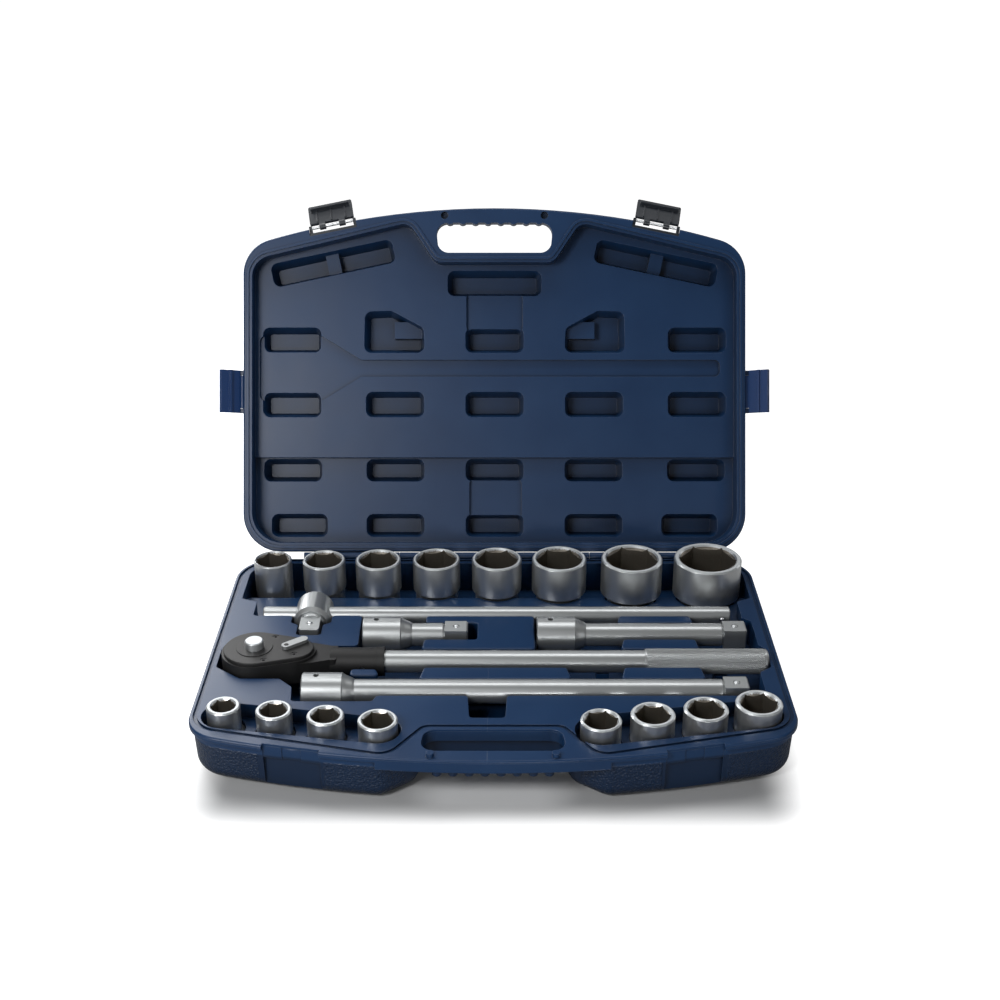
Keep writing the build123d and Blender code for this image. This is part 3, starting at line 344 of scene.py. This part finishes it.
def knurl_tree():
    """Geometry Nodes: staggered rows of small pyramids round a bar that lies along X."""
    tree = bpy.data.node_groups.new("diamond knurl", "GeometryNodeTree")
    for name in ("Start", "Length", "Centre Y", "Centre Z", "Radius", "Pitch", "Height"):
        tree.interface.new_socket(name, in_out="INPUT", socket_type="NodeSocketFloat")
    tree.interface.new_socket("Finish", in_out="INPUT", socket_type="NodeSocketMaterial")
    tree.interface.new_socket("Geometry", in_out="OUTPUT", socket_type="NodeSocketGeometry")
    given = add_node(tree, "NodeGroupInput").outputs

    def sum_of(operation, first, second):
        return add_node(tree, "ShaderNodeMath", {0: first, 1: second}, operation=operation).outputs[0]

    girth = sum_of("MULTIPLY", given["Radius"], math.tau)
    around = sum_of("ROUND", sum_of("DIVIDE", girth, given["Pitch"]), 0.0)
    row_step = sum_of("MULTIPLY", given["Pitch"], 0.5)
    rows = sum_of("FLOOR", sum_of("DIVIDE", given["Length"], row_step), 0.0)
    index = add_node(tree, "GeometryNodeInputIndex").outputs[0]
    row = sum_of("FLOOR", sum_of("DIVIDE", index, around), 0.0)
    stagger = sum_of("MULTIPLY", sum_of("MODULO", row, 2.0), 0.5)
    column = sum_of("ADD", sum_of("MODULO", index, around), stagger)
    angle = sum_of("MULTIPLY", sum_of("DIVIDE", column, around), math.tau)
    y = sum_of("MULTIPLY", given["Radius"], sum_of("COSINE", angle, 0.0))
    z = sum_of("MULTIPLY", given["Radius"], sum_of("SINE", angle, 0.0))
    spot = add_node(
        tree, "ShaderNodeCombineXYZ",
        {"X": sum_of("ADD", given["Start"], sum_of("MULTIPLY", row, row_step)),
         "Y": sum_of("ADD", given["Centre Y"], y), "Z": sum_of("ADD", given["Centre Z"], z)},
    )
    points = add_node(
        tree, "GeometryNodePoints",
        {"Count": sum_of("MULTIPLY", around, rows), "Position": spot.outputs[0]},
    )
    pyramid = add_node(
        tree, "GeometryNodeMeshCone",
        {"Vertices": 4, "Radius Top": 0.0, "Radius Bottom": row_step, "Depth": given["Height"]},
        fill_type="NGON",
    )
    turn = add_node(tree, "ShaderNodeCombineXYZ", {"X": sum_of("SUBTRACT", angle, math.pi / 2)})
    crowd = add_node(
        tree, "GeometryNodeInstanceOnPoints",
        {"Points": points.outputs[0], "Instance": pyramid.outputs["Mesh"], "Rotation": turn.outputs[0]},
    )
    solid = add_node(tree, "GeometryNodeRealizeInstances", {"Geometry": crowd.outputs[0]})
    dressed = add_node(
        tree, "GeometryNodeSetMaterial", {"Geometry": solid.outputs[0], "Material": given["Finish"]}
    )
    add_node(tree, "NodeGroupOutput", {"Geometry": dressed.outputs[0]})
    return tree


def grown(name, tree, values):
    """Runs a Geometry Nodes tree once and keeps the result as a plain mesh object."""
    seed = placed(name + " seed", bpy.data.meshes.new(name + " seed"))
    modifier = seed.modifiers.new("tree", "NODES")
    modifier.node_group = tree
    for socket in tree.interface.items_tree:
        if socket.in_out == "INPUT":
            modifier[socket.identifier] = values[socket.name]
    graph = bpy.context.evaluated_depsgraph_get()
    mesh = bpy.data.meshes.new_from_object(seed.evaluated_get(graph))
    bpy.data.objects.remove(seed)
    return placed(name, mesh)


# Knurled grip of the ratchet's handle: the handle's thick end, found from the node's own corners.
# The pitch is coarser than on the real bar, so that it shows in the render.
grip_length, plain_end = 112 * MM, 3 * MM
knurl_pitch, knurl_depth, knurl_sink = 1.7 * MM, 0.35 * MM, 0.03 * MM
handle_low, handle_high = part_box("ratchet_handle")
grip = grown(
    "grip_knurl", knurl_tree(),
    {
        "Start": handle_high.x - grip_length, "Length": grip_length - plain_end,
        "Centre Y": (handle_low.y + handle_high.y) / 2, "Centre Z": (handle_low.z + handle_high.z) / 2,
        "Radius": (handle_high.z - handle_low.z) / 2 - knurl_sink,
        "Pitch": knurl_pitch, "Height": knurl_depth, "Finish": chrome,
    },
)
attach(grip, "ratchet")

# Painted shade of the reversing lever's pivot hole: a shallow black disc on its round end,
# where the hole shows dark
shade_disc_foot, shade_disc_crown = 2.3 * MM, 1.7 * MM
shade_disc_height, shade_disc_lift = 0.4 * MM, 0.15 * MM
shade_disc_mesh = bpy.data.meshes.new("lever_hole_shade")
shade_disc_shape = bmesh.new()
bmesh.ops.create_cone(
    shade_disc_shape, cap_ends=True, segments=32, radius1=shade_disc_foot, radius2=shade_disc_crown, depth=shade_disc_height
)
shade_disc_shape.to_mesh(shade_disc_mesh)
shade_disc_shape.free()
lever_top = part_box("reversing_lever")[1].z
lever_pivot = joints["lever_turn"]["pos_m"]
shade_disc_mesh.transform(Matrix.Translation((*lever_pivot[:2], lever_top + shade_disc_lift)))
shade_disc_mesh.materials.append(black_screw_and_hole_shade)
shade_disc = placed("lever_hole_shade", shade_disc_mesh)
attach(shade_disc, "reversing_lever")

# Moulded barrel of the hinge between its knuckles, with the web that joins it to the base's rim
barrel_half, barrel_radius = 99.5 * MM, 4.2 * MM
web_top, web_length = 2.4 * MM, 7.6 * MM
arc_start = -math.asin(web_top / barrel_radius)
arc_steps = 24
outline = [(web_length, -barrel_radius), (web_length, -web_top)]
for step in range(arc_steps + 1):
    turn = arc_start + (1.5 * math.pi - arc_start) * step / arc_steps
    outline.append((barrel_radius * math.cos(turn), barrel_radius * math.sin(turn)))
barrel_shape = bmesh.new()
corners = [
    barrel_shape.verts.new((-barrel_half, hinge_point[1] - ahead, hinge_point[2] + up))
    for ahead, up in outline
]
end_face = barrel_shape.faces.new(corners)
grown_ends = bmesh.ops.extrude_face_region(barrel_shape, geom=[end_face])["geom"]
far_corners = [part for part in grown_ends if isinstance(part, bmesh.types.BMVert)]
bmesh.ops.translate(barrel_shape, verts=far_corners, vec=(2 * barrel_half, 0, 0))
bmesh.ops.recalc_face_normals(barrel_shape, faces=barrel_shape.faces)
barrel_mesh = bpy.data.meshes.new("hinge_barrel")
barrel_shape.to_mesh(barrel_mesh)
barrel_shape.free()
barrel_mesh.materials.append(navy)
barrel = placed("hinge_barrel", barrel_mesh)
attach(barrel, "base")

# Studio: a white sweep, a soft key on the left, cards behind, in front and above, strips for sheen
world = bpy.data.worlds.new("studio")
bpy.context.scene.world = world
world.use_nodes = True
sky = world.node_tree
rays = add_node(sky, "ShaderNodeLightPath")
seen = add_node(
    sky, "ShaderNodeMath",
    {0: rays.outputs["Is Camera Ray"], 1: rays.outputs["Is Transmission Ray"]}, operation="MAXIMUM",
)
mirrored = add_node(
    sky, "ShaderNodeMapRange", {"Value": rays.outputs["Is Glossy Ray"], "To Min": 0.06, "To Max": 0.18}
)
fill = add_node(
    sky, "ShaderNodeMapRange",
    {"Value": seen.outputs[0], "To Min": mirrored.outputs["Result"], "To Max": 1.0},
)
background = sky.nodes["Background"]
background.inputs["Color"].default_value = (1, 1, 1, 1)
sky.links.new(fill.outputs["Result"], background.inputs["Strength"])


def softbox(name, place, aim, width, height, power, sheen_only=False):
    """An area light; one for sheen only shows in polished skins and lights nothing else."""
    lamp = bpy.data.lights.new(name, "AREA")
    lamp.shape = "RECTANGLE"
    lamp.size, lamp.size_y, lamp.energy = width, height, power
    lamp_object = placed(name, lamp)
    lamp_object.location = place
    lamp_object.visible_camera = False
    lamp_object.visible_diffuse = not sheen_only
    direction = Vector(aim) - Vector(place)
    lamp_object.rotation_euler = direction.to_track_quat("-Z", "Y").to_euler()


softbox("key on the left", (-0.62, -0.92, 0.86), (-0.15, 0.2, 0.2), 0.35, 0.35, 9)
softbox("card behind on the left", (-0.75, 0.95, 0.7), (-0.2, 0.0, 0.05), 0.7, 0.9, 16)
softbox("low card in front", (0.15, -1.25, 0.2), (0.0, 0.13, 0.06), 0.25, 0.25, 3.2)
softbox("top", (0.0, 0.3, 1.4), (0.0, -0.05, 0.0), 1.2, 0.4, 7.5)
softbox("strip on the left", (-0.85, -0.95, 0.4), (0.0, 0.1, 0.06), 0.14, 0.8, 8.0, True)
softbox("strip on the right", (0.9, -0.75, 0.4), (0.0, 0.1, 0.06), 0.08, 0.8, 1.6, True)
softbox("edge from the right", (1.3, 0.75, 0.5), (0.2, 0.2, 0.15), 0.3, 0.9, 1.0)

# Paper floor: a grey band round the case's footprint is a painted shadow, over the lamps' own shadow;
# past it, a glow seen only by the camera fades it to pure white
shadow_half = (0.226, 0.171, 1)
shadow_fade = 0.055
floor_mesh = bpy.data.meshes.new("floor")
side = 8.0
floor_mesh.from_pydata(
    [(-side, -side, 0), (side, -side, 0), (side, side, 0), (-side, side, 0)], [], [(0, 1, 2, 3)]
)
floor = placed("floor", floor_mesh)
paper, tree, shader, place = new_material("white paper sweep", Roughness=0.9)
shader.inputs["Base Color"].default_value = linear("#b4b5b6")
shader.inputs["Emission Color"].default_value = (1, 1, 1, 1)
out = add_node(tree, "ShaderNodeVectorMath", {0: place}, operation="ABSOLUTE")
past = add_node(tree, "ShaderNodeVectorMath", {0: out.outputs[0], 1: shadow_half}, operation="SUBTRACT")
beyond = add_node(tree, "ShaderNodeVectorMath", {0: past.outputs[0], 1: (0, 0, 0)}, operation="MAXIMUM")
away = add_node(tree, "ShaderNodeVectorMath", {0: beyond.outputs[0]}, operation="LENGTH")
glow = add_node(
    tree, "ShaderNodeMapRange",
    {"Value": away.outputs["Value"], "From Max": shadow_fade},
    interpolation_type="SMOOTHSTEP",
)
direct = add_node(tree, "ShaderNodeLightPath")
lit = add_node(
    tree, "ShaderNodeMath",
    {0: glow.outputs["Result"], 1: direct.outputs["Is Camera Ray"]}, operation="MULTIPLY",
)
tree.links.new(lit.outputs[0], shader.inputs["Emission Strength"])
floor_mesh.materials.append(paper)

lens = bpy.data.cameras.new("camera")
lens.lens, lens.sensor_width, lens.clip_end = camera_lens, 36.0, 50.0
camera = placed("camera", lens)
camera.location = camera_place
camera.rotation_euler = (math.radians(90 - camera_pitch), 0, 0)
bpy.context.scene.camera = camera
bpy.context.scene.view_settings.view_transform = "Standard"
